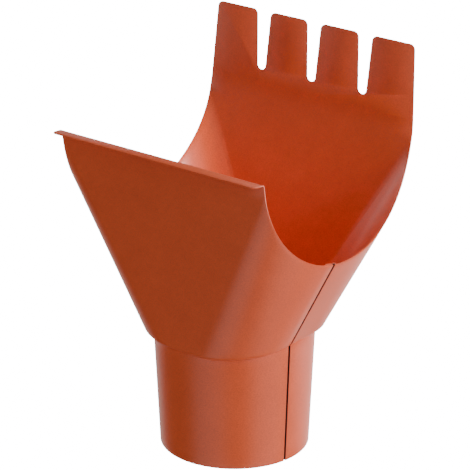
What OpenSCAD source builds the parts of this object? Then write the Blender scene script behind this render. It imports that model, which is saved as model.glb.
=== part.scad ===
// Outlet for a half-round gutter, folded from one coated steel sheet.
// It hooks over the gutter's front bead, wraps under the gutter and up its
// back, and narrows to a tapered spigot that drops into a downpipe.
// The origin is on the spigot's axis, in the plane of its bottom rim.
// X runs along the gutter, -Y is the front lip's side, +Y the wall's side.

/* [Sheet] */
// Thickness of the sheet
sheet_t = 0.6; // [0.5:0.05:0.8]

/* [Spigot] */
// Outer diameter at the bottom rim
rim_d = 81; // [76:0.5:84]
// Outer diameter at the top, under the throat
top_d = 87.2; // [85:0.2:90]
// Mean height of the throat's lower edge above the rim
spigot_h = 67.5; // [60:0.5:80]

/* [Throat] */
// Half length of the flats where the funnel's faces meet the throat
throat_flat = 11; // [8:0.5:14]
// How far the flats stand out past the spigot
throat_gap = 0.3; // [0.2:0.1:0.6]
// Height that the throat's flare takes for each mm that it stands out
flare_rise = 1.3; // [1:0.1:1.8]
// How much higher the throat lies at the sides than at front and back
throat_wave = 1.8; // [0:0.2:2.4]
// Turn of the crisp folds beside the back face, in degrees
fold_turn = 14; // [10:1:18]

/* [Gutter seat] */
// Diameter of the curve that wraps under the gutter
seat_d = 127; // [120:0.5:134]
// Height of the gutter's centre above the rim
seat_z = 184; // [178:0.5:194]
// Offset of the gutter's centre towards the wall
seat_y = 2.7; // [0:0.1:5]
// Width between the side edges at the lowest point of the seat
belly_w = 144; // [140:0.5:150]

/* [Front lip] */
// Length of the lip
lip_w = 133; // [128:0.5:137]
// Height of the lip's ridge above the rim
lip_z = 179.9; // [179:0.1:184]
// Radius inside the lip's roll
lip_r = 1.4; // [1:0.1:2]
// Width of the lip's flange past the roll
lip_flange = 7; // [6:0.1:9]
// Rise of the flange, in degrees
lip_rise = 5; // [0:1:10]
// Radius of the flange's corners
lip_corner = 3; // [2:0.1:4]

/* [Back apron] */
// Height of the apron's top edge above the rim
apron_z = 219.2; // [214:0.2:226]
// Width of the apron where it leaves the seat
apron_foot_w = 136; // [133:0.5:138]
// Width of the apron at its top edge
apron_top_w = 130.8; // [127:0.2:132]
// Lean of the apron towards the wall, in degrees
apron_lean = 4.5; // [3:0.5:6]

/* [Tabs] */
// Number of slots between the tabs
slot_count = 3; // [1:1:3]
// Distance from one slot to the next
slot_pitch = 33.8; // [31:0.1:35]
// Depth of a slot
slot_depth = 32.9; // [30:0.1:36]
// Width of a slot at the apron's top edge
slot_mouth = 9.3; // [8:0.1:11]
// Radius of a slot's round foot
slot_r = 2.85; // [2.4:0.05:3.4]
// Radius of the tabs' corners
tab_r = 3; // [1.5:0.1:4]

/* [Seam] */
// Place of the seam across the side, towards the front
seam_y = -7.8; // [-8.4:0.1:-7.2]
// Width of the groove that shows outside
groove_w = 0.9; // [0.6:0.05:1.2]
// Depth of the groove
groove_d = 0.8; // [0.4:0.1:1]
// Width of the folded lock inside
lock_w = 7; // [5:0.2:8]
// Thickness of the folded lock's extra layers
lock_t = 1.2; // [1:0.1:1.6]

/* [Hidden] */
coat = [0.66, 0.26, 0.13];
$fn = 96;

// Steps of the facets
flat_steps = 5;
corner_steps = 22;
side_steps = 4;
fold_steps = 2;
run_steps = 4;
roll_steps = 6;
nose_steps = 4;
wall_rows = 4;

// Spigot: its wall is straight and widens evenly with height
rim_r = rim_d / 2;
top_r = top_d / 2;
taper = (top_r - rim_r) / spigot_h;
function spigot_r(z) = rim_r + taper * z;
// The funnel's skirt runs down inside the spigot's wall from this height
skirt_drop = 15;
skirt_z = spigot_h - skirt_drop;
skirt_lap = 4;
skirt_ease = 1;
let_in = 0.05;

// Throat: a rounded square that the funnel's wall stands on
throat_half = top_r + throat_gap;
throat_corner = throat_half - throat_flat;
function throat_at(x, y) =
    [x, y, spigot_h + throat_wave * cos(2 * atan2(y, x))];
function throat_corner_at(a, back) =
    throat_at(throat_flat + throat_corner * cos(a),
              (back ? 1 : -1) * throat_flat + throat_corner * sin(a));

// Throat's back corner: a tight fold, a straight run and a wide arc, which
// meets the plain corner arc half way round
half_turn = 45;
fold_r = 4;
mid_point = throat_flat + throat_corner * cos(half_turn);
fold_end = [throat_flat + fold_r * sin(fold_turn),
            throat_half - fold_r * (1 - cos(fold_turn))];
wide_side = [sin(half_turn) - sin(fold_turn), cos(fold_turn) - cos(half_turn)];
run_side = [cos(fold_turn), sin(fold_turn)];
to_mid = [mid_point - fold_end.x, fold_end.y - mid_point];
cross_side = run_side.x * wide_side.y - wide_side.x * run_side.y;
run_l = (to_mid.x * wide_side.y - wide_side.x * to_mid.y) / cross_side;
wide_r = (run_side.x * to_mid.y - run_side.y * to_mid.x) / cross_side;
function throat_fold_at(turn) =
    throat_at(throat_flat + fold_r * sin(turn), throat_half - fold_r * (1 - cos(turn)));
function throat_run_at(u) =
    throat_at(fold_end.x + u * run_l * run_side.x, fold_end.y - u * run_l * run_side.y);
function throat_wide_at(turn) =
    let (past = max(turn, fold_turn))
    turn > half_turn
        ? throat_corner_at(90 - turn, true)
        : throat_at(mid_point - wide_r * (sin(half_turn) - sin(past)),
                    mid_point + wide_r * (cos(past) - cos(half_turn)));
function throat_side_at(y) =
    let (past = max(abs(y) - throat_flat, 0))
    throat_at(throat_flat + sqrt(pow(throat_corner, 2) - past * past), y);

// Gutter seat: a circle in side view, on which the front and back faces,
// drawn from the throat, are tangent lines
seat_r = seat_d / 2;
throat_end_z = spigot_h - throat_wave;
function tangent_angle(y, back) =
    let (dy = y - seat_y, dz = throat_end_z - seat_z)
    let (turn = acos(seat_r / norm([dy, dz])))
    (atan2(dz, dy) + 360) + (back ? turn : -turn);
front_a = tangent_angle(-throat_half, false);
back_a = tangent_angle(throat_half, true);
apron_a = 360 - apron_lean;
belly_a = 283;
middle_a = 270;
side_a = 6;
// The rear folds start here on the seat's edge, and give way a little there
fold_a = 341;
fold_give = 0.5;
fold_ease = 0.8;
function seat_yz(a) = [seat_y + seat_r * cos(a), seat_z + seat_r * sin(a)];
function seat_angle(y) = 360 - acos((y - seat_y) / seat_r);

// Side edges: they bow out from the lip and the apron to the belly
bow = 1.6;
function seat_x(a) =
    let (lip_side = a < belly_a)
    let (u = lip_side ? (a - front_a) / (belly_a - front_a)
                      : (back_a - a) / (back_a - belly_a))
    let (end = (lip_side ? lip_w : apron_foot_w) / 2)
    end + (belly_w / 2 - end) * pow(sin(90 * max(u, 0)), bow);
function seat_at(a) = concat([seat_x(a)], seat_yz(a));

// Columns of the funnel's wall, each a pair of its top and its foot.
// They go anticlockwise seen from above, from the middle of the front face.
even_share = 0.55;
function share(u) = even_share * u + (1 - even_share) * pow(u, 3);
function flip(c) = [[-c[0].x, c[0].y, c[0].z], [-c[1].x, c[1].y, c[1].z]];
function face(k, back) =
    let (u = k / flat_steps, a = back ? back_a : front_a)
    [[seat_x(a) * u, seat_yz(a)[0], seat_yz(a)[1]],
     throat_at((throat_flat - (back ? fold_ease : 0)) * u,
               (back ? 1 : -1) * throat_half)];
function front_corner(k, end_a, end_b) =
    let (u = k / corner_steps)
    [seat_at(front_a + (end_a - front_a) * share(u)),
     throat_corner_at(-90 + (end_b + 90) * u, false)];
function back_corner(k) =
    let (u = k / corner_steps, a = fold_a - 2 * fold_give)
    [seat_at(a - (a - middle_a - side_a) * share(1 - u)),
     throat_wide_at(90 - (90 - fold_turn) * u)];
function fold_column(a, foot) = [seat_at(a), foot];

// From the wide arc to the back face: the run, the fold and the face's end
back_fold = concat(
    [for (k = [1:run_steps])
        let (u = k / run_steps)
        fold_column(fold_a - fold_give * (2 - u), throat_run_at(1 - u))],
    [for (k = [1:fold_steps])
        let (u = k / fold_steps)
        fold_column(fold_a - fold_give * (1 - u), throat_fold_at(fold_turn * (1 - u)))],
    [for (k = [1:fold_steps])
        let (u = k / fold_steps)
        fold_column(fold_a + (back_a - fold_a) * u,
                    throat_at(throat_flat - fold_ease * u, throat_half))]);
fold_n = len(back_fold);

// Columns at the seam: where the groove and the lock start and stop
groove_slope = 0.15;
lock_slope = 0.4;
lock_back = 1.5;
lock_front = lock_back - lock_w;
seam_steps = [
    [lock_front - lock_slope, 0, 0],
    [lock_front, 0, lock_t],
    [-groove_w / 2, 0, lock_t],
    [-groove_w / 2 + groove_slope, groove_d, lock_t],
    [groove_w / 2 - groove_slope, groove_d, lock_t],
    [groove_w / 2, 0, lock_t],
    [lock_back, 0, lock_t],
    [lock_back + lock_slope, 0, 0]];
seam_start = seam_y + seam_steps[0][0];
seam_end = seam_y + seam_steps[len(seam_steps) - 1][0];
function seam_column(s) =
    let (y = seam_y + s[0])
    [seat_at(seat_angle(y)), throat_side_at(y)];
seam_corner_b = asin((seam_start + throat_flat) / throat_corner);

right = concat(
    [for (k = [0:flat_steps - 1]) face(k, false)],
    [for (k = [0:corner_steps - 1])
        front_corner(k, seat_angle(seam_start), min(seam_corner_b, 0))],
    [for (s = seam_steps) seam_column(s)],
    [for (k = [1:side_steps])
        let (u = k / side_steps, a = seat_angle(seam_end))
        [seat_at(a + (middle_a + side_a - a) * u),
         throat_side_at(seam_end + (throat_flat - seam_end) * u)]],
    [for (k = [1:corner_steps]) back_corner(k)],
    back_fold,
    [for (k = [flat_steps - 1:-1:0]) face(k, true)]);
left = concat(
    [for (k = [1:flat_steps - 1]) face(k, true)],
    [for (k = [fold_n - 1:-1:0]) back_fold[k]],
    [for (k = [corner_steps:-1:0]) back_corner(k)],
    [for (k = [1:side_steps])
        let (u = k / side_steps)
        [seat_at(middle_a + side_a * (1 - 2 * u)),
         throat_side_at(throat_flat * (1 - 2 * u))]],
    [for (k = [corner_steps - 1:-1:0])
        front_corner(k, middle_a - side_a, 0)],
    [for (k = [flat_steps - 1:-1:1]) face(k, false)]);
columns = concat(right, [for (c = left) flip(c)]);
col_n = len(columns);
seam_col = flat_steps + corner_steps;
function is_seam(i) = i >= seam_col && i < seam_col + len(seam_steps);
function groove_at(i) = is_seam(i) ? seam_steps[i - seam_col][1] : 0;
function lock_at(i) = is_seam(i) ? seam_steps[i - seam_col][2] : 0;

// Rows of the funnel, from the skirt's foot up to the seat
function ring_at(c, z, inset) =
    let (a = atan2(c[1].y, c[1].x), r = spigot_r(z) - inset)
    [r * cos(a), r * sin(a), z];
function crease_at(c) =
    let (out = norm([c[1].x, c[1].y]) - spigot_r(c[1].z))
    ring_at(c, c[1].z - flare_rise * out, 0);
function wall_at(c, u) = c[1] + (c[0] - c[1]) * u;
function column_points(c) = concat(
    [ring_at(c, skirt_z - skirt_lap, let_in),
     ring_at(c, skirt_z, let_in),
     ring_at(c, skirt_z + skirt_ease, 0),
     crease_at(c)],
    [for (k = [0:wall_rows]) wall_at(c, k / wall_rows)]);
wall = [for (c = columns) column_points(c)];
row_n = len(wall[0]);

// Profile of the lip past the front face: points and outward normals
front_lean = front_a - 180;
lip_top = lip_z - lip_r - sheet_t;
front_yz = seat_yz(front_a);
lip_foot_y = front_yz[0] - (lip_top - front_yz[1]) * tan(front_lean);
lip_centre = [lip_foot_y - lip_r * cos(front_lean), lip_top - lip_r * sin(front_lean)];
function turn(a) = [cos(a), sin(a)];
flange_a = 90 - lip_rise;
flange_from = lip_centre + lip_r * turn(flange_a);
flange_dir = turn(flange_a + 90);
// Each row holds a point in side view, the outward normal there, and how far
// the row falls short of the lip's ends, where the flange's corners are round
lip_rows = concat(
    [for (k = [0:roll_steps])
        let (a = front_lean + (flange_a - front_lean) * k / roll_steps)
        [lip_centre + lip_r * turn(a), -turn(a), 0]],
    [for (k = [0:nose_steps])
        let (a = 90 * k / nose_steps)
        [flange_from + (lip_flange - lip_corner * (1 - sin(a))) * flange_dir,
         -turn(flange_a), lip_corner * (1 - cos(a))]]);

// Profile of the apron above the back face
bend_steps = 2;
bend_top = seat_yz(apron_a);
apron_rows = concat(
    [for (k = [1:bend_steps])
        let (a = back_a + (apron_a - back_a) * k / bend_steps)
        [seat_yz(a), turn(a)]],
    [[bend_top + (apron_z - bend_top[1]) * [tan(apron_lean), 1], turn(apron_a)]]);
function apron_x(z) =
    let (foot = seat_yz(back_a)[1])
    (apron_foot_w + (apron_top_w - apron_foot_w) * (z - foot) / (apron_z - foot)) / 2;

// Points of the sheet's outer side: the wall's rows first, then the lip's
// and the apron's, each of which spans the columns of its own flat face
span_n = 2 * flat_steps + 1;
back_col = flat_steps + corner_steps + len(seam_steps) + side_steps + corner_steps
    + fold_n - 1;
function front_i(k) = (k - flat_steps + col_n) % col_n;
function back_i(k) = back_col + k;
function wall_id(i, j) = j * col_n + i;
lip_base = row_n * col_n;
function lip_id(k, j) = j < 0 ? wall_id(front_i(k), row_n - 1)
                              : lip_base + j * span_n + k;
apron_base = lip_base + len(lip_rows) * span_n;
function apron_id(k, j) = j < 0 ? wall_id(back_i(k), row_n - 1)
                                : apron_base + j * span_n + k;
function across(k) = k / flat_steps - 1;
points = concat(
    [for (j = [0:row_n - 1], i = [0:col_n - 1]) wall[i][j]],
    [for (r = lip_rows, k = [0:span_n - 1])
        [(lip_w / 2 - r[2]) * across(k), r[0][0], r[0][1]]],
    [for (r = apron_rows, k = [0:span_n - 1])
        [-apron_x(r[0][1]) * across(k), r[0][0], r[0][1]]]);

// Outward normals, from each point's neighbours on the sheet
function unit(v) = v / norm(v);
function wall_normal(i, j) =
    let (e = wall[(i + 1) % col_n], w = wall[(i + col_n - 1) % col_n])
    let (up = wall[i][min(j + 1, row_n - 1)] - wall[i][max(j - 1, 0)])
    unit(cross(e[j] - w[j], up));
normals = concat(
    [for (j = [0:row_n - 1], i = [0:col_n - 1]) wall_normal(i, j)],
    [for (r = lip_rows, k = [0:span_n - 1]) [0, r[1][0], r[1][1]]],
    [for (r = apron_rows, k = [0:span_n - 1]) [0, r[1][0], r[1][1]]]);

// Depth of the outer and inner side under each point
extra_n = len(points) - lip_base;
function skirt_cut(j) = j < 2 ? let_in : 0;
outer_depth = concat(
    [for (j = [0:row_n - 1], i = [0:col_n - 1]) groove_at(i)],
    [for (k = [1:extra_n]) 0]);
inner_depth = concat(
    [for (j = [0:row_n - 1], i = [0:col_n - 1])
        sheet_t + lock_at(i) - 2 * skirt_cut(j)],
    [for (k = [1:extra_n]) sheet_t]);
point_n = len(points);
sheet_points = concat(
    [for (k = [0:point_n - 1]) points[k] - outer_depth[k] * normals[k]],
    [for (k = [0:point_n - 1]) points[k] - inner_depth[k] * normals[k]]);

// Faces: both sides of the sheet, and its edges below and above
function quads(ids) = [for (q = ids) each [[q[0], q[3], q[2]], [q[0], q[2], q[1]]]];
outer_quads = concat(
    [for (j = [0:row_n - 2], i = [0:col_n - 1])
        let (n = (i + 1) % col_n)
        [wall_id(i, j), wall_id(n, j), wall_id(n, j + 1), wall_id(i, j + 1)]],
    [for (j = [-1:len(lip_rows) - 2], k = [0:span_n - 2])
        [lip_id(k, j), lip_id(k + 1, j), lip_id(k + 1, j + 1), lip_id(k, j + 1)]],
    [for (j = [-1:len(apron_rows) - 2], k = [0:span_n - 2])
        [apron_id(k, j), apron_id(k + 1, j),
         apron_id(k + 1, j + 1), apron_id(k, j + 1)]]);
inner_quads = [for (q = outer_quads)
    [q[1] + point_n, q[0] + point_n, q[3] + point_n, q[2] + point_n]];
last = span_n - 1;
top_loop = concat(
    [for (k = [0:last]) lip_id(k, len(lip_rows) - 1)],
    [for (j = [len(lip_rows) - 2:-1:-1]) lip_id(last, j)],
    [for (i = [flat_steps + 1:back_col]) wall_id(i, row_n - 1)],
    [for (j = [0:len(apron_rows) - 1]) apron_id(0, j)],
    [for (k = [1:last]) apron_id(k, len(apron_rows) - 1)],
    [for (j = [len(apron_rows) - 2:-1:-1]) apron_id(last, j)],
    [for (i = [back_i(last) + 1:front_i(0)]) wall_id(i, row_n - 1)],
    [for (j = [0:len(lip_rows) - 2]) lip_id(0, j)]);
bottom_loop = [for (i = [col_n - 1:-1:0]) wall_id(i, 0)];
function edge_quads(loop) = [for (k = [0:len(loop) - 1])
    let (p = loop[k], q = loop[(k + 1) % len(loop)])
    [p, q, q + point_n, p + point_n]];
sheet_faces = concat(quads(outer_quads), quads(inner_quads),
    quads(edge_quads(top_loop)), quads(edge_quads(bottom_loop)));

// Lip, funnel and apron: one sheet, thickened inwards from its outer side
module formed_sheet() {
    polyhedron(points = sheet_points, faces = sheet_faces, convexity = 8);
}

// How far cuts run past what they cut, how far a tab's round corner starts
// inside the slot beside it, and the length of the punches
cut_past = 1;
corner_in = 0.25;
punch_l = 20;

// Ring between two depths in the spigot's wall, up to height z
module wall_ring(outer, inner, z) {
    rotate_extrude()
        polygon([[rim_r - inner, 0], [rim_r - outer, 0],
                 [spigot_r(z) - outer, z], [spigot_r(z) - inner, z]]);
}

// Part of a ring that lies at the seam, from y0 to y1
module at_seam(y0, y1) {
    intersection() {
        children();
        translate([0, seam_y + y0, -cut_past])
            cube([rim_r + top_r, y1 - y0, skirt_z + 2 * cut_past]);
    }
}

// Tapered spigot with the seam's groove outside and its lock inside
module spigot() {
    difference() {
        union() {
            wall_ring(0, sheet_t, skirt_z);
            at_seam(lock_front, lock_back)
                wall_ring(sheet_t - let_in, sheet_t + lock_t, skirt_z);
        }
        at_seam(-groove_w / 2, groove_w / 2)
            wall_ring(-cut_past, groove_d, skirt_z + cut_past);
    }
}

// One slot, drawn from the apron's top edge down to its round foot
module slot_shape() {
    foot = -slot_depth + slot_r;
    polygon([[-slot_mouth / 2, 0], [-slot_r, foot], [slot_r, foot], [slot_mouth / 2, 0]]);
    translate([0, foot]) circle(slot_r);
    translate([-slot_mouth / 2, 0]) square([slot_mouth, cut_past]);
}

// What is cut away to round a tab's corner: the tab lies right of the origin
module corner_waste() {
    difference() {
        translate([-cut_past, -tab_r]) square(tab_r + cut_past);
        translate([tab_r, -tab_r]) circle(tab_r);
    }
}

// Everything that is punched from the apron, in the apron's own plane
module punch_shape() {
    for (k = [0:slot_count - 1])
        translate([(k - (slot_count - 1) / 2) * slot_pitch, 0]) {
            slot_shape();
            for (s = [0, 1])
                mirror([s, 0]) translate([slot_mouth / 2 - corner_in, 0]) corner_waste();
        }
    for (s = [0, 1])
        mirror([s, 0]) translate([-apron_top_w / 2, 0]) corner_waste();
}

module outlet() {
    color(coat) difference() {
        union() {
            formed_sheet();
            spigot();
        }
        translate([0, apron_rows[bend_steps][0][0], apron_z])
            rotate([90 - apron_lean, 0, 0])
                linear_extrude(punch_l, center = true) punch_shape();
    }
}

outlet();
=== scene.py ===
# %% [markdown]
# A gutter outlet is folded from one sheet of coated steel. Its front lip hooks
# over a half-round gutter's bead, its belly wraps under the gutter, and its
# tabs bend over the gutter's back edge. The funnel narrows to a round spigot
# that drops into a downpipe. This lesson models it the way a tinsmith sees it:
# as one open surface that gets the sheet's thickness at the end.

# %% Load the frame
from math import acos, asin, atan2, cos, degrees, hypot, radians, sin, sqrt, tan

import bmesh
import bpy
from mathutils import Matrix, Vector


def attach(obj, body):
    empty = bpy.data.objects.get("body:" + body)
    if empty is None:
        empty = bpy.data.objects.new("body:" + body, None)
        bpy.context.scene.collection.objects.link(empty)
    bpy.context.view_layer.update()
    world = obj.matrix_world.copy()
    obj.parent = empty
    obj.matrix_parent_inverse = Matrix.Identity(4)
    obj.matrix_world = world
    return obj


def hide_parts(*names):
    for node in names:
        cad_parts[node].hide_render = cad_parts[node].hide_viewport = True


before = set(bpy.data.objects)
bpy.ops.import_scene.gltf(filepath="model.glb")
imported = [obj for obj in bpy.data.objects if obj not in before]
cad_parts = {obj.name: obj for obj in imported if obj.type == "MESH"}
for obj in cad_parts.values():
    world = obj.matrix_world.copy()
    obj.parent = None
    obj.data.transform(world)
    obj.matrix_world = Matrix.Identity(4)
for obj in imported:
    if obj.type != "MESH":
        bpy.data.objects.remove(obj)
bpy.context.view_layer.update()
MM = 0.001
TINY = 0.000001
print("CAD nodes:", sorted(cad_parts))

# %% [markdown]
# The photograph was taken from the right of the lip, a little above, with a
# long lens, so parallel edges stay almost parallel. The camera is placed by
# its distance and two angles, and it looks along its own axis without shift.

# %% Camera
CAMERA_AT = Vector((0.824676, -1.039674, 0.644253))
CAMERA_TURN = radians(38.41)
CAMERA_DOWN = radians(21.63)

bpy.ops.object.camera_add(
    location=CAMERA_AT, rotation=(radians(90) - CAMERA_DOWN, 0, CAMERA_TURN))
camera = bpy.context.object
camera.data.sensor_width = 36
camera.data.lens = 206.3
camera.data.clip_end = 50
bpy.context.scene.camera = camera
print("camera", [round(c, 3) for c in camera.location])

# %% [markdown]
# All sizes are in millimetres and match the sheet metal drawing: a tapered
# spigot, a throat that is a rounded square, and a seat that is part of a
# circle in side view. The front and back faces are planes that touch that
# circle, so their angles on it follow from the sizes.

# %% Sizes
SHEET = 0.6
RIM_R = 81 / 2
TOP_R = 87.2 / 2
SPIGOT_H = 67.5
THROAT_FLAT = 11
THROAT_HALF = TOP_R + 0.3
THROAT_CORNER = THROAT_HALF - THROAT_FLAT
THROAT_WAVE = 1.8
FLARE_RISE = 0.5
FOLD_TURN = 14
SEAT_R = 127 / 2
SEAT_Y = 2.7
SEAT_Z = 184
BELLY_W = 143.98
LIP_W = 133
APRON_FOOT_W = 136


def tangent_angle(y, side):
    """Where a line from the throat at y touches the seat's circle."""
    dy = y - SEAT_Y
    dz = SPIGOT_H - THROAT_WAVE - SEAT_Z
    turn = degrees(acos(SEAT_R / hypot(dy, dz)))
    return degrees(atan2(dz, dy)) + 360 + side * turn


FRONT_A = tangent_angle(-THROAT_HALF, -1)
BACK_A = tangent_angle(THROAT_HALF, 1)
BELLY_A = 283
MIDDLE_A = 270
SIDE_A = 6
FOLD_A = 341

# What the back fold's lines take of the seat, in degrees, and of the back face
FOLD_GIVE = 0.5
FOLD_EASE = 0.8
print("front face touches the seat at", round(FRONT_A, 1), "and the back at", round(BACK_A, 1))

# %% [markdown]
# The funnel's wall is drawn with straight lines, each from a point of the
# throat to a point of the seat's edge. A sheet that is only bent, and not
# stretched, has such lines on it, so the wall reads as folded metal. Each
# line is one column of the mesh, held as its top and its foot.


# %% Points of the spigot and of the throat
def csin(a):
    return sin(radians(a))


def ccos(a):
    return cos(radians(a))


def spigot_r(z):
    return RIM_R + (TOP_R - RIM_R) * z / SPIGOT_H


def throat(x, y):
    return Vector((x, y, SPIGOT_H + THROAT_WAVE * cos(2 * atan2(y, x))))


def throat_side(y):
    past = max(abs(y) - THROAT_FLAT, 0)
    return throat(THROAT_FLAT + sqrt(THROAT_CORNER ** 2 - past * past), y)


def throat_corner(a, side):
    return throat(THROAT_FLAT + THROAT_CORNER * ccos(a),
                  side * THROAT_FLAT + THROAT_CORNER * csin(a))


print("throat is", 2 * THROAT_HALF, "mm wide, corner radius", round(THROAT_CORNER, 2), "mm")

# %% [markdown]
# Beside the back face the sheet has a crisp fold, which catches the light as
# a line. There the throat's corner is not one plain arc: it has a tight fold,
# a straight run and a wide arc that meets the plain arc half way round.

# %% The throat's back corner
HALF_TURN = 45
FOLD_R = 4
mid_point = THROAT_FLAT + THROAT_CORNER * ccos(HALF_TURN)
fold_end = Vector((THROAT_FLAT + FOLD_R * csin(FOLD_TURN),
                   THROAT_HALF - FOLD_R * (1 - ccos(FOLD_TURN))))
wide_side = Vector((csin(HALF_TURN) - csin(FOLD_TURN), ccos(FOLD_TURN) - ccos(HALF_TURN)))
run_side = Vector((ccos(FOLD_TURN), csin(FOLD_TURN)))
to_mid = Vector((mid_point - fold_end.x, fold_end.y - mid_point))
run_l = to_mid.cross(wide_side) / run_side.cross(wide_side)
wide_r = run_side.cross(to_mid) / run_side.cross(wide_side)
print("straight run", round(run_l, 2), "mm, wide arc radius", round(wide_r, 2), "mm")


def throat_fold(turn):
    return throat(THROAT_FLAT + FOLD_R * csin(turn), THROAT_HALF - FOLD_R * (1 - ccos(turn)))


def throat_run(u):
    return throat(fold_end.x + u * run_l * run_side.x, fold_end.y - u * run_l * run_side.y)


def throat_wide(turn):
    if turn > HALF_TURN:
        return throat_corner(90 - turn, 1)
    past = max(turn, FOLD_TURN)
    return throat(mid_point - wide_r * (csin(HALF_TURN) - csin(past)),
                  mid_point + wide_r * (ccos(past) - ccos(HALF_TURN)))


# %% [markdown]
# From the side, the seat's edge runs on a circle that fits round the gutter.
# From the front it is as wide as the lip and the apron at its two ends, and it
# swells to the belly's width between them.

# %% The seat's edge
SWELL = 1.6


def seat_angle(y):
    return 360 - degrees(acos((y - SEAT_Y) / SEAT_R))


def seat(a):
    if a < BELLY_A:
        u, end = (a - FRONT_A) / (BELLY_A - FRONT_A), LIP_W / 2
    else:
        u, end = (BACK_A - a) / (BACK_A - BELLY_A), APRON_FOOT_W / 2
    x = end + (BELLY_W / 2 - end) * csin(90 * max(u, 0)) ** SWELL
    return Vector((x, SEAT_Y + SEAT_R * ccos(a), SEAT_Z + SEAT_R * csin(a)))


print("the seat is lowest at z", round(seat(MIDDLE_A).z, 1), "mm")

# %% [markdown]
# The sheet's two ends meet on the right side, a little in front of the middle.
# They are hooked into each other and pressed flat: a lock seam. Outside only a
# narrow groove shows, and inside there is a flat band of folded layers. The
# columns beside the seam run parallel, so that the groove has an even width.

# %% Columns beside the seam
SEAM_Y = -7.8
GROOVE_W = 1.3
GROOVE_D = 0.9
GROOVE_DIP = 0.06
GROOVE_WALL = 0.12
LOCK_T = 1.2
LOCK_FROM = -5.5
LOCK_TO = 1.5
LOCK_EDGE = 0.4

# Each step is its place across the seam, the groove's depth and the lock's thickness
SEAM_STEPS = [
    (LOCK_FROM - LOCK_EDGE, 0, 0),
    (LOCK_FROM, 0, LOCK_T),
    (-GROOVE_W / 2 - GROOVE_WALL, 0, LOCK_T),
    (-GROOVE_W / 2, GROOVE_DIP, LOCK_T),
    (-GROOVE_W / 2 + GROOVE_WALL, GROOVE_D, LOCK_T),
    (GROOVE_W / 2 - GROOVE_WALL, GROOVE_D, LOCK_T),
    (GROOVE_W / 2, GROOVE_DIP, LOCK_T),
    (GROOVE_W / 2 + GROOVE_WALL, 0, LOCK_T),
    (LOCK_TO, 0, LOCK_T),
    (LOCK_TO + LOCK_EDGE, 0, 0),
]
SEAM_START = SEAM_Y + SEAM_STEPS[0][0]
SEAM_END = SEAM_Y + SEAM_STEPS[-1][0]
print("the seam takes", round(SEAM_END - SEAM_START, 1), "mm of the throat")

# %% [markdown]
# The flat faces, the corners and the folds are each a short list of columns.
# The lists share their end columns' places, so the wall has no gap where a
# face turns into a corner.

# %% Columns of faces and corners
FLAT_STEPS = 6
CORNER_STEPS = 52
SIDE_STEPS = 8
FOLD_STEPS = 4
RUN_STEPS = 8
CROWD = 0.45


def share(u):
    """Spreads the lines so that they crowd towards the flat faces."""
    return (1 - CROWD) * u + CROWD * u ** 3


def face_column(k, side):
    u = k / FLAT_STEPS
    top = seat(BACK_A if side > 0 else FRONT_A)
    flat = THROAT_FLAT - (FOLD_EASE if side > 0 else 0)
    return Vector((top.x * u, top.y, top.z)), throat(flat * u, side * THROAT_HALF)


def front_corner_column(k, end_a, end_b):
    u = k / CORNER_STEPS
    return (seat(FRONT_A + (end_a - FRONT_A) * share(u)),
            throat_corner(-90 + (end_b + 90) * u, -1))


def back_corner_column(k):
    u = k / CORNER_STEPS
    a = FOLD_A - 2 * FOLD_GIVE
    return (seat(a - (a - MIDDLE_A - SIDE_A) * share(1 - u)),
            throat_wide(90 - (90 - FOLD_TURN) * u))


def back_fold_columns():
    """From the wide arc to the back face: the run, the fold and the face's end."""
    found = []
    for k in range(1, RUN_STEPS + 1):
        u = k / RUN_STEPS
        found.append((seat(FOLD_A - FOLD_GIVE * (2 - u)), throat_run(1 - u)))
    for k in range(1, FOLD_STEPS + 1):
        u = k / FOLD_STEPS
        found.append((seat(FOLD_A - FOLD_GIVE * (1 - u)), throat_fold(FOLD_TURN * (1 - u))))
    for k in range(1, FOLD_STEPS + 1):
        u = k / FOLD_STEPS
        found.append((seat(FOLD_A + (BACK_A - FOLD_A) * u),
                      throat(THROAT_FLAT - FOLD_EASE * u, THROAT_HALF)))
    return found


print(len(back_fold_columns()), "columns in a back fold")

# %% [markdown]
# The columns start in the middle of the front face and go round the right
# side, with its seam, to the middle of the back. The left side is listed on
# the right and mirrored, since it is the same but has no seam.


# %% Columns all the way round
def mirrored(column):
    return tuple(Vector((-p.x, p.y, p.z)) for p in column)


seam_b = degrees(asin((SEAM_START + THROAT_FLAT) / THROAT_CORNER))
right = [face_column(k, -1) for k in range(FLAT_STEPS)]
right += [front_corner_column(k, seat_angle(SEAM_START), min(seam_b, 0))
          for k in range(CORNER_STEPS)]
seam_first = len(right)
right += [(seat(seat_angle(SEAM_Y + s[0])), throat_side(SEAM_Y + s[0])) for s in SEAM_STEPS]
for k in range(1, SIDE_STEPS + 1):
    u = k / SIDE_STEPS
    a = seat_angle(SEAM_END)
    right.append((seat(a + (MIDDLE_A + SIDE_A - a) * u),
                  throat_side(SEAM_END + (THROAT_FLAT - SEAM_END) * u)))
right += [back_corner_column(k) for k in range(1, CORNER_STEPS + 1)]
right += back_fold_columns()
back_first = len(right) - 1
right += [face_column(k, 1) for k in range(FLAT_STEPS - 1, -1, -1)]

left = [face_column(k, 1) for k in range(1, FLAT_STEPS)]
left += back_fold_columns()[::-1]
left += [back_corner_column(k) for k in range(CORNER_STEPS, -1, -1)]
for k in range(1, SIDE_STEPS + 1):
    u = k / SIDE_STEPS
    left.append((seat(MIDDLE_A + SIDE_A * (1 - 2 * u)), throat_side(THROAT_FLAT * (1 - 2 * u))))
left += [front_corner_column(k, MIDDLE_A - SIDE_A, 0) for k in range(CORNER_STEPS - 1, -1, -1)]
left += [face_column(k, -1) for k in range(FLAT_STEPS - 1, 0, -1)]
columns = right + [mirrored(c) for c in left]
print(len(columns), "columns, seam from column", seam_first)

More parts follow.
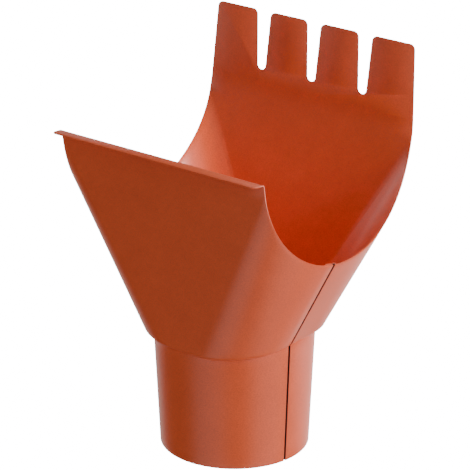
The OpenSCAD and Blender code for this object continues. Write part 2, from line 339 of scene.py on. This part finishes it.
# %% [markdown]
# The spigot could be a cylinder joined to the funnel, but the real sheet runs
# from the rim to the seat without a joint. So the mesh starts as a circle at
# the rim, with one vertex for each column, and its loop is extruded upwards
# ring by ring. Each vertex remembers its column, which says where it goes.


# %% Start with a circle at the rim
def deselect_all():
    bpy.ops.object.select_all(action="DESELECT")


def rim_point(column, z):
    foot = column[1]
    a = atan2(foot.y, foot.x)
    return Vector((spigot_r(z) * cos(a), spigot_r(z) * sin(a), z))


deselect_all()
bpy.ops.mesh.primitive_circle_add(vertices=len(columns), radius=RIM_R * MM, location=(0, 0, 0))
sheet = bpy.context.object
sheet.name = "outlet_sheet"
sheet.data.name = "outlet_sheet"
column_of = sheet.data.attributes.new("column", "INT", "POINT")
row_of = sheet.data.attributes.new("row", "INT", "POINT")
for i, vertex in enumerate(sheet.data.vertices):
    column_of.data[i].value = i
    row_of.data[i].value = 0
    vertex.co = rim_point(columns[i], 0) * MM
print(len(sheet.data.vertices), "vertices on the rim")

# %% [markdown]
# Above the spigot the sheet flares out to the rounded throat. A press leaves a
# small radius at such a fold, never a knife edge. Each column therefore turns
# the fold with a short curve, held inside the flare where the flare is narrow.

# %% Points of one column
SPIGOT_ROWS = 14
WALL_ROWS = 22
FOLD = 1.0
FOLD_ROWS = 3
FLARE_SHARE = 0.42


def curve(start, corner, end, t):
    return start * (1 - t) ** 2 + corner * 2 * t * (1 - t) + end * t * t


def column_points(column):
    top, foot = column
    out = hypot(foot.x, foot.y) - spigot_r(foot.z)
    crease = rim_point(column, foot.z - FLARE_RISE * out)
    flare = foot - crease
    cut = min(FOLD, FLARE_SHARE * flare.length)
    below = crease - Vector((0, 0, cut))
    above = crease + flare.normalized() * cut
    turn_in = foot - flare.normalized() * cut
    turn_out = foot + (top - foot).normalized() * FOLD
    points = [rim_point(column, below.z * k / SPIGOT_ROWS) for k in range(SPIGOT_ROWS + 1)]
    points += [curve(points[-1], crease, above, k / FOLD_ROWS) for k in range(1, FOLD_ROWS + 1)]
    points += [curve(turn_in, foot, turn_out, k / FOLD_ROWS) for k in range(FOLD_ROWS + 1)]
    points += [turn_out + (top - turn_out) * (k / WALL_ROWS) for k in range(1, WALL_ROWS + 1)]
    return points


print(len(column_points(columns[0])), "points in each column")


# %% Raise the spigot and the funnel
def place_ring(points, row):
    """Extrudes the selected loop and puts each new vertex on its column."""
    bpy.ops.mesh.extrude_edges_move()
    bm = bmesh.from_edit_mesh(sheet.data)
    column = bm.verts.layers.int["column"]
    level = bm.verts.layers.int["row"]
    for vertex in bm.verts:
        if vertex.select:
            vertex.co = points[vertex[column]] * MM
            vertex[level] = row
    bmesh.update_edit_mesh(sheet.data)


rings = list(zip(*[column_points(c) for c in columns]))
bpy.ops.object.mode_set(mode="EDIT")
bpy.ops.mesh.select_mode(type="VERT")
bpy.ops.mesh.select_all(action="SELECT")
for row, ring in enumerate(rings[1:], start=1):
    place_ring(ring, row)
seat_row = len(rings) - 1
print(seat_row, "rings raised")


# %% [markdown]
# The lip is a roll over the gutter's bead and a flange that reaches forward,
# with round corners. Both are extruded from the front face's top edge, step by
# step along the profile in side view.

# %% Select the top edge of a flat face
def select_span(first, count, row):
    """Selects a run of vertices of one ring."""
    chosen = {(first + k) % len(columns) for k in range(count)}
    bpy.ops.mesh.select_all(action="DESELECT")
    bm = bmesh.from_edit_mesh(sheet.data)
    column = bm.verts.layers.int["column"]
    level = bm.verts.layers.int["row"]
    for vertex in bm.verts:
        vertex.select = vertex[level] == row and vertex[column] in chosen
    bm.select_flush_mode()
    bmesh.update_edit_mesh(sheet.data)


def extrude_profile(first, count, steps, row):
    """Extrudes a run along the (half width, y, z) steps of a profile."""
    select_span(first, count, seat_row)
    middle = first + (count - 1) / 2
    side = 1 if first > len(columns) / 2 else -1
    for half, y, z in steps:
        ring = {}
        for k in range(count):
            across = side * (first + k - middle) / ((count - 1) / 2)
            ring[(first + k) % len(columns)] = Vector((half * across, y, z))
        place_ring(ring, row)
        row += 1
    return row


span = 2 * FLAT_STEPS + 1
front_first = len(columns) - FLAT_STEPS
print(span, "vertices along the top edge of each flat face")

# %% Fold the lip
LIP_Z = 179.9
LIP_R = 1.4
LIP_FLANGE = 7
LIP_CORNER = 3
FLANGE_A = 85
ROLL_STEPS = 10
NOSE_STEPS = 8

front_lean = FRONT_A - 180
front_top = seat(FRONT_A)
lip_top = LIP_Z - LIP_R - SHEET
lip_foot_y = front_top.y - (lip_top - front_top.z) * tan(radians(front_lean))
roll = Vector((lip_foot_y - LIP_R * ccos(front_lean), lip_top - LIP_R * csin(front_lean)))


def turned(a):
    return Vector((ccos(a), csin(a)))


lip_line = []
for k in range(ROLL_STEPS + 1):
    p = roll + LIP_R * turned(front_lean + (FLANGE_A - front_lean) * k / ROLL_STEPS)
    lip_line.append((LIP_W / 2, p.x, p.y))
for k in range(NOSE_STEPS + 1):
    a = 90 * k / NOSE_STEPS
    reach = LIP_FLANGE - LIP_CORNER * (1 - csin(a))
    p = roll + LIP_R * turned(FLANGE_A) + reach * turned(FLANGE_A + 90)
    lip_line.append((LIP_W / 2 - LIP_CORNER * (1 - ccos(a)), p.x, p.y))

next_row = extrude_profile(front_first, span, lip_line, seat_row + 1)
print("lip folded in", len(lip_line), "steps")

# %% [markdown]
# Behind the gutter the sheet stands up as an apron. It follows the seat's
# circle for a few degrees, then rises as a flat plane that leans a little
# towards the wall and narrows to its top.

# %% Raise the apron
APRON_Z = 219.2
APRON_TOP_W = 130.8
APRON_LEAN = 4.5
BEND_STEPS = 8
APRON_ROWS = 6

apron_foot = seat(BACK_A)
apron_bend = seat(360 - APRON_LEAN)


def apron_half(z):
    u = (z - apron_foot.z) / (APRON_Z - apron_foot.z)
    return (APRON_FOOT_W + (APRON_TOP_W - APRON_FOOT_W) * u) / 2


apron_line = []
for k in range(1, BEND_STEPS + 1):
    p = seat(BACK_A + (360 - APRON_LEAN - BACK_A) * k / BEND_STEPS)
    apron_line.append((apron_half(p.z), p.y, p.z))
for k in range(1, APRON_ROWS + 1):
    z = apron_bend.z + (APRON_Z - apron_bend.z) * k / APRON_ROWS
    y = apron_bend.y + (z - apron_bend.z) * tan(radians(APRON_LEAN))
    apron_line.append((apron_half(z), y, z))
extrude_profile(back_first, span, apron_line, next_row)
bpy.ops.mesh.select_all(action="SELECT")
bpy.ops.mesh.remove_doubles(threshold=TINY)
bpy.ops.mesh.normals_make_consistent(inside=False)
bpy.ops.object.mode_set(mode="OBJECT")
print(len(sheet.data.polygons), "faces in the open sheet")

# %% [markdown]
# Normals say which side is out, and the thickness is added towards the other
# side. On an open sheet the recalculated normals may all point inwards, so
# one face of the spigot is tested and all are flipped if it is wrong.

# %% Turn the outside out
first_face = sheet.data.polygons[0]
outward = Vector((first_face.center.x, first_face.center.y, 0)).normalized()
if first_face.normal.dot(outward) < 0:
    bpy.ops.object.mode_set(mode="EDIT")
    bpy.ops.mesh.select_all(action="SELECT")
    bpy.ops.mesh.flip_normals()
    bpy.ops.object.mode_set(mode="OBJECT")
print("outside faces out:", sheet.data.polygons[0].normal.dot(outward) > 0)

# %% [markdown]
# The seam's groove is pressed into the outer side, and the lock thickens the
# inner side. The groove is made by moving its columns along their normals. A
# vertex group tells Solidify how thick the sheet is at each column. The seam
# attribute marks the groove for painted shade, on the outer side only.

# %% Press the seam and thicken the sheet
FULL_T = SHEET + LOCK_T
sheet.data.attributes.new("seam", "FLOAT", "POINT")
thick = sheet.vertex_groups.new(name="thick")
normals = [v.normal.copy() for v in sheet.data.vertices]
# The groove's vertices get the seam mark, which paints shade into them.
for i, vertex in enumerate(sheet.data.vertices):
    step = sheet.data.attributes["column"].data[i].value - seam_first
    groove, lock = 0, 0
    if 0 <= step < len(SEAM_STEPS):
        _, groove, lock = SEAM_STEPS[step]
    vertex.co = vertex.co - normals[i] * groove * MM
    sheet.data.attributes["seam"].data[i].value = 1 if groove else 0
    thick.add([i], (SHEET + lock - groove) / FULL_T, "REPLACE")

solidify = sheet.modifiers.new("sheet thickness", "SOLIDIFY")
solidify.thickness = FULL_T * MM
solidify.offset = -1
solidify.use_even_offset = True
solidify.vertex_group = "thick"
solidify.thickness_vertex_group = 0
bpy.context.view_layer.objects.active = sheet
outer_count = len(sheet.data.vertices)
bpy.ops.object.modifier_apply(modifier=solidify.name)
seam_mark = sheet.data.attributes["seam"]
for i in range(outer_count, len(sheet.data.vertices)):
    seam_mark.data[i].value = 0
print("sheet is", SHEET, "mm thick,", len(sheet.data.polygons), "faces")

# %% [markdown]
# Three slots divide the apron's top into four tabs, which the fitter bends
# over the gutter's back edge. A punch cuts each slot through the sheet, so
# the punch is modelled: a round foot that widens to the open mouth.

# %% One punch
SLOT_R = 2.85
SLOT_DEPTH = 32.9
SLOT_MOUTH = 9.3
SLOT_PITCH = 33.8
PUNCH_REACH = 1.5
PUNCH_LONG = 12

deselect_all()
bpy.ops.mesh.primitive_circle_add(vertices=64, radius=SLOT_R * MM, fill_type="NOTHING")
punch = bpy.context.object
punch.name = "slot_punch"
bpy.ops.object.mode_set(mode="EDIT")
bpy.ops.mesh.select_all(action="SELECT")
bpy.ops.mesh.bisect(plane_co=(0, 0, 0), plane_no=(0, 1, 0), clear_outer=True)
bm = bmesh.from_edit_mesh(punch.data)
for vertex in bm.verts:
    vertex.select = vertex.co.y > -TINY
bm.select_flush_mode()
bmesh.update_edit_mesh(punch.data)
slot_straight = SLOT_DEPTH - SLOT_R
widen = 1 + (SLOT_MOUTH / 2 / SLOT_R - 1) * (slot_straight + PUNCH_REACH) / slot_straight
bpy.ops.mesh.extrude_vertices_move(
    TRANSFORM_OT_translate={"value": (0, (slot_straight + PUNCH_REACH) * MM, 0)})
bpy.ops.transform.resize(value=(widen, 1, 1), center_override=(0, 0, 0))
bpy.ops.mesh.select_all(action="SELECT")
bpy.ops.mesh.edge_face_add()
bpy.ops.mesh.extrude_region_move(TRANSFORM_OT_translate={"value": (0, 0, PUNCH_LONG * MM)})
bpy.ops.mesh.select_all(action="SELECT")
bpy.ops.transform.translate(value=(0, -slot_straight * MM, -PUNCH_LONG / 2 * MM))
bpy.ops.mesh.normals_make_consistent(inside=False)
bpy.ops.object.mode_set(mode="OBJECT")
print("punch has", len(punch.data.polygons), "faces")

# %% Punch the three slots
stand_up = Matrix.Rotation(radians(90 - APRON_LEAN), 4, "X")
apron_top = Vector((0, apron_line[-1][1], APRON_Z)) * MM
punches = []
for k in (-1, 0, 1):
    copy = punch.copy()
    copy.data = punch.data.copy()
    bpy.context.collection.objects.link(copy)
    place = Matrix.Translation(apron_top + Vector((k * SLOT_PITCH * MM, 0, 0)))
    copy.data.transform(place @ stand_up)
    punches.append(copy)
for copy in punches:
    cut = sheet.modifiers.new("slot", "BOOLEAN")
    cut.operation = "DIFFERENCE"
    cut.solver = "EXACT"
    cut.object = copy
    deselect_all()
    bpy.context.view_layer.objects.active = sheet
    bpy.ops.object.modifier_apply(modifier=cut.name)
for tool in [punch] + punches:
    bpy.data.objects.remove(tool)
print("slots punched,", len(sheet.data.polygons), "faces")

# %% [markdown]
# Punched tabs have round corners. They are made as a fitter would file them:
# the short edge through the sheet at each corner is bevelled to a radius. The
# apron's flat faces are merged first, so that the bevel has room.

# %% Round the tabs' corners
TAB_R = 3
TAB_BAND = 0.5
BEND_BAND = 0.2
FACING = 0.9


def is_tab_corner(edge):
    a, b = (v.co for v in edge.verts)
    short = (a - b).length < 2 * SHEET * MM
    at_top = min(a.z, b.z) > (APRON_Z - TAB_BAND) * MM
    across = abs((a - b).normalized().y) > FACING
    return short and at_top and across and edge.calc_face_angle(0) > radians(60)


deselect_all()
sheet.select_set(True)
bpy.context.view_layer.objects.active = sheet
bpy.ops.object.mode_set(mode="EDIT")
bpy.ops.mesh.select_mode(type="FACE")
bpy.ops.mesh.select_all(action="DESELECT")
bm = bmesh.from_edit_mesh(sheet.data)
for face in bm.faces:
    above = face.calc_center_median().z > (apron_bend.z + BEND_BAND) * MM
    face.select = above and (abs(face.normal.y) > FACING or face.normal.z > FACING)
bmesh.update_edit_mesh(sheet.data)
bpy.ops.mesh.dissolve_limited(angle_limit=radians(0.5))
bpy.ops.mesh.select_all(action="DESELECT")
bpy.ops.mesh.select_mode(type="EDGE")
bm = bmesh.from_edit_mesh(sheet.data)
corners = [edge for edge in bm.edges if is_tab_corner(edge)]
for edge in corners:
    edge.select = True
bmesh.update_edit_mesh(sheet.data)
print(len(corners), "tab corners")
bpy.ops.mesh.bevel(offset=TAB_R * MM, segments=8, affect="EDGES")
bpy.ops.object.mode_set(mode="OBJECT")

# %% [markdown]
# Cut sheet has no knife edges, so every edge that turns sharply gets a bevel.
# Blender clamps its width so that it never runs over itself. Beside the narrow
# groove the columns lie close together, so here the clamp leaves it very fine.

# %% Break the edges and smooth the faces
EDGE = 0.1
SHARP = radians(50)
SMOOTH = radians(30)

soften = sheet.modifiers.new("broken edges", "BEVEL")
soften.width = EDGE * MM
soften.segments = 2
soften.limit_method = "ANGLE"
soften.angle_limit = SHARP
bpy.ops.object.modifier_apply(modifier=soften.name)
bpy.ops.object.shade_smooth_by_angle(angle=SMOOTH)
print("finished sheet:", len(sheet.data.polygons), "faces")

# %% [markdown]
# The tabs and slots are punched after the sheet is coated, so their edges are
# bare. Their dark colour is partly bare steel and partly painted shade. They
# are the narrow faces above the bend that neither side of the apron shares.
# The edges further down are rolled and keep their coat.

# %% Find the punched edges
PUNCHED_FROM = 4
EDGE_ON = 0.5

apron_out = Vector((0, ccos(APRON_LEAN), -csin(APRON_LEAN)))
punched = 0
# Faces on the punched edges get the dark edge material, which is partly painted shade.
for face in sheet.data.polygons:
    high = face.center.z > (apron_bend.z + PUNCHED_FROM) * MM
    if high and abs(face.normal.dot(apron_out)) < EDGE_ON:
        face.material_index = 1
        punched += 1
print(punched, "faces on punched edges")

# %% [markdown]
# The steel is coil coated: a satin paint, baked on before the sheet is cut,
# with a fine grain that breaks up its highlights. The grain is a node group,
# so that the cut edges can use it too, with a scale of their own.


# %% Grain group
NOISE_LOW, NOISE_HIGH = 0.3, 0.7


def new_socket(group, name, kind, way, value=None):
    socket = group.interface.new_socket(name=name, in_out=way, socket_type=kind)
    if value is not None:
        socket.default_value = value
    return socket


grain = bpy.data.node_groups.new("coat_grain", "ShaderNodeTree")
new_socket(grain, "Color", "NodeSocketColor", "INPUT", (0.5, 0.5, 0.5, 1))
new_socket(grain, "Scale", "NodeSocketFloat", "INPUT", 1500)
new_socket(grain, "Roughness", "NodeSocketFloat", "INPUT", 0.45)
new_socket(grain, "Color", "NodeSocketColor", "OUTPUT")
new_socket(grain, "Roughness", "NodeSocketFloat", "OUTPUT")
new_socket(grain, "Height", "NodeSocketFloat", "OUTPUT")


def wire(tree, *pairs):
    for source, target in pairs:
        tree.links.new(source, target)


def spread(low, high):
    """Maps the noise, which keeps near its middle, to the range low to high."""
    node = grain.nodes.new("ShaderNodeMapRange")
    node.inputs["From Min"].default_value = NOISE_LOW
    node.inputs["From Max"].default_value = NOISE_HIGH
    node.inputs["To Min"].default_value = low
    node.inputs["To Max"].default_value = high
    return node


given = grain.nodes.new("NodeGroupInput")
handed = grain.nodes.new("NodeGroupOutput")
place = grain.nodes.new("ShaderNodeTexCoord")
fine = grain.nodes.new("ShaderNodeTexNoise")
fine.inputs["Detail"].default_value = 3
broad = grain.nodes.new("ShaderNodeTexNoise")
broad.inputs["Scale"].default_value = 60
broad.inputs["Detail"].default_value = 4
fleck = spread(0.9, 1.1)
cloud = spread(0.97, 1.03)
shade = grain.nodes.new("ShaderNodeMath")
shade.operation = "MULTIPLY"
tint = grain.nodes.new("ShaderNodeVectorMath")
tint.operation = "SCALE"
dull = grain.nodes.new("ShaderNodeMath")
dull.operation = "MULTIPLY"
wire(grain,
     (place.outputs["Object"], fine.inputs["Vector"]),
     (given.outputs["Scale"], fine.inputs["Scale"]),
     (place.outputs["Object"], broad.inputs["Vector"]),
     (fine.outputs["Fac"], fleck.inputs["Value"]),
     (broad.outputs["Fac"], cloud.inputs["Value"]),
     (fleck.outputs["Result"], shade.inputs[0]),
     (cloud.outputs["Result"], shade.inputs[1]),
     (given.outputs["Color"], tint.inputs[0]),
     (shade.outputs["Value"], tint.inputs["Scale"]),
     (tint.outputs["Vector"], handed.inputs["Color"]),
     (given.outputs["Roughness"], dull.inputs[0]),
     (fleck.outputs["Result"], dull.inputs[1]),
     (dull.outputs["Value"], handed.inputs["Roughness"]),
     (fine.outputs["Fac"], handed.inputs["Height"]))
print("grain group has", len(grain.nodes), "nodes")


# %% [markdown]
# The coat and the punched edges are made by one function, since both are the
# same sheet with another colour, roughness and grain. The seam's attribute
# turns the coat dark in the groove: painted shade.


# %% Coated steel
GRAIN_DEPTH = 0.02


def coated(name, color, roughness, scale, strength, specular):
    material = bpy.data.materials.new(name)
    material.use_nodes = True
    tree = material.node_tree
    shader = tree.nodes["Principled BSDF"]
    shader.inputs["Specular IOR Level"].default_value = specular
    pattern = tree.nodes.new("ShaderNodeGroup")
    pattern.node_tree = grain
    pattern.inputs["Color"].default_value = (*color, 1)
    pattern.inputs["Scale"].default_value = scale
    pattern.inputs["Roughness"].default_value = roughness
    bump = tree.nodes.new("ShaderNodeBump")
    bump.inputs["Strength"].default_value = strength
    bump.inputs["Distance"].default_value = GRAIN_DEPTH * MM
    wire(tree,
         (pattern.outputs["Roughness"], shader.inputs["Roughness"]),
         (pattern.outputs["Height"], bump.inputs["Height"]),
         (bump.outputs["Normal"], shader.inputs["Normal"]))
    return material, pattern, shader


COAT = (0.8, 0.112, 0.034)
# The groove's near-black colour is painted shade.
GROOVE_PAINTED_SHADE = (0.04, 0.004, 0.002)
# The punched edges' dark colour is partly bare steel and partly painted shade.
BARE_AND_SHADED_EDGE = (0.12, 0.02, 0.01)
paint, paint_grain, paint_shader = coated("coat_on_steel", COAT, 0.38, 1400, 0.35, 0.5)
tree = paint.node_tree
seam = tree.nodes.new("ShaderNodeAttribute")
seam.attribute_name = "seam"
# Where the seam mark is set, the coat is mixed towards the painted shade of the groove.
groove_shade_mix = tree.nodes.new("ShaderNodeMix")
groove_shade_mix.data_type = "RGBA"
groove_shade_mix.inputs["B"].default_value = (*GROOVE_PAINTED_SHADE, 1)
wire(tree,
     (seam.outputs["Fac"], groove_shade_mix.inputs["Factor"]),
     (paint_grain.outputs["Color"], groove_shade_mix.inputs["A"]),
     (groove_shade_mix.outputs["Result"], paint_shader.inputs["Base Color"]))

edge, edge_grain, edge_shader = coated("punched_edge", BARE_AND_SHADED_EDGE, 0.6, 3000, 0.3, 0.3)
wire(edge.node_tree, (edge_grain.outputs["Color"], edge_shader.inputs["Base Color"]))
sheet.data.materials.append(paint)
sheet.data.materials.append(edge)
print("materials:", [m.name for m in sheet.data.materials])

# %% [markdown]
# The outlet has no joint, so the sheet rides on the one body, root. It stands
# in for the CAD node outlet, whose place and box it keeps.

# %% Hand the sheet to the frame
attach(sheet, "root")
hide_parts("outlet")
print(sheet.name, "replaces the node outlet")

# %% [markdown]
# The outlet stands on a white floor that glows evenly, like a light table, so
# no shadow falls beside it. Only the camera sees that floor: the coat's colour
# comes from softboxes in a ring around the outlet. The strongest ones stand at
# the right and behind, so that the flat front face stays deep in colour.

# %% Floor
FLOOR_SIZE = 12
FLOOR_GLOW = 16

deselect_all()
bpy.ops.mesh.primitive_plane_add(size=FLOOR_SIZE, location=(0, 0, 0))
floor = bpy.context.object
floor.name = "floor"
white = bpy.data.materials.new("pale_floor")
white.use_nodes = True
glow = white.node_tree.nodes["Principled BSDF"]
glow.inputs["Base Color"].default_value = (0.9, 0.9, 0.9, 1)
glow.inputs["Roughness"].default_value = 0.9
glow.inputs["Emission Color"].default_value = (1, 1, 1, 1)
glow.inputs["Emission Strength"].default_value = FLOOR_GLOW
floor.data.materials.append(white)
floor.visible_diffuse = False
floor.visible_glossy = False
floor.visible_shadow = False
print("floor", FLOOR_SIZE, "m wide, seen by the camera only")

# %% Softboxes
MIDDLE = Vector((0, 0, 0.12))
REACH = 2.0


def softbox(name, turn, rise, size, watts):
    """An area light on a sphere around the outlet, turned from +X and raised."""
    way = Vector((ccos(rise) * ccos(turn), ccos(rise) * csin(turn), csin(rise)))
    bpy.ops.object.light_add(type="AREA", location=MIDDLE + way * REACH)
    lamp = bpy.context.object
    lamp.name = name
    lamp.data.size = size
    lamp.data.energy = watts
    lamp.rotation_euler = way.to_track_quat("Z", "Y").to_euler()


softbox("right", 8, 12, 1.5, 28)
softbox("right_low", 0, -45, 1.5, 11)
softbox("right_back", 55, -8, 1.2, 26)
softbox("right_high", 18, 38, 1.2, 9)
softbox("back", 90, 40, 1.5, 14)
softbox("back_low", 120, -15, 1.5, 9)
softbox("behind_low", 95, -40, 1.5, 7)
softbox("left_low", 158, -26, 1.0, 3)
softbox("left", 180, 12, 1.5, 10)
softbox("left_high", 180, 40, 1.5, 6)
softbox("left_front", 203, 8, 1.0, 5)
softbox("front", 270, 10, 1.5, 6)
softbox("front_low", 270, -45, 1.5, 8)
softbox("camera_side", 322, 33, 0.5, 3)

# %% [markdown]
# Inside, the left wall has a highlight that no large light can give without
# washing out the rest. A narrow spotlight reaches over the right edge to it.
# The world adds only a trace of light, so that nothing falls to black.

# %% Spotlight and world
SPOT_AT = Vector((1.8, 0.12, 1.2))
SPOT_TO = Vector((-0.06, 0.032, 0.165))
bpy.ops.object.light_add(type="SPOT", location=SPOT_AT)
spot = bpy.context.object
spot.name = "inner_wall_spot"
spot.data.energy = 560
spot.data.spot_size = radians(3.8)
spot.data.spot_blend = 1
spot.data.shadow_soft_size = 0.08
spot.rotation_euler = (SPOT_AT - SPOT_TO).to_track_quat("Z", "Y").to_euler()

world = bpy.data.worlds.new("studio")
bpy.context.scene.world = world
world.use_nodes = True
world.node_tree.nodes["Background"].inputs["Color"].default_value = (1, 1, 1, 1)
world.node_tree.nodes["Background"].inputs["Strength"].default_value = 0.02
print("spotlight", spot.data.energy, "W, world", world.name)
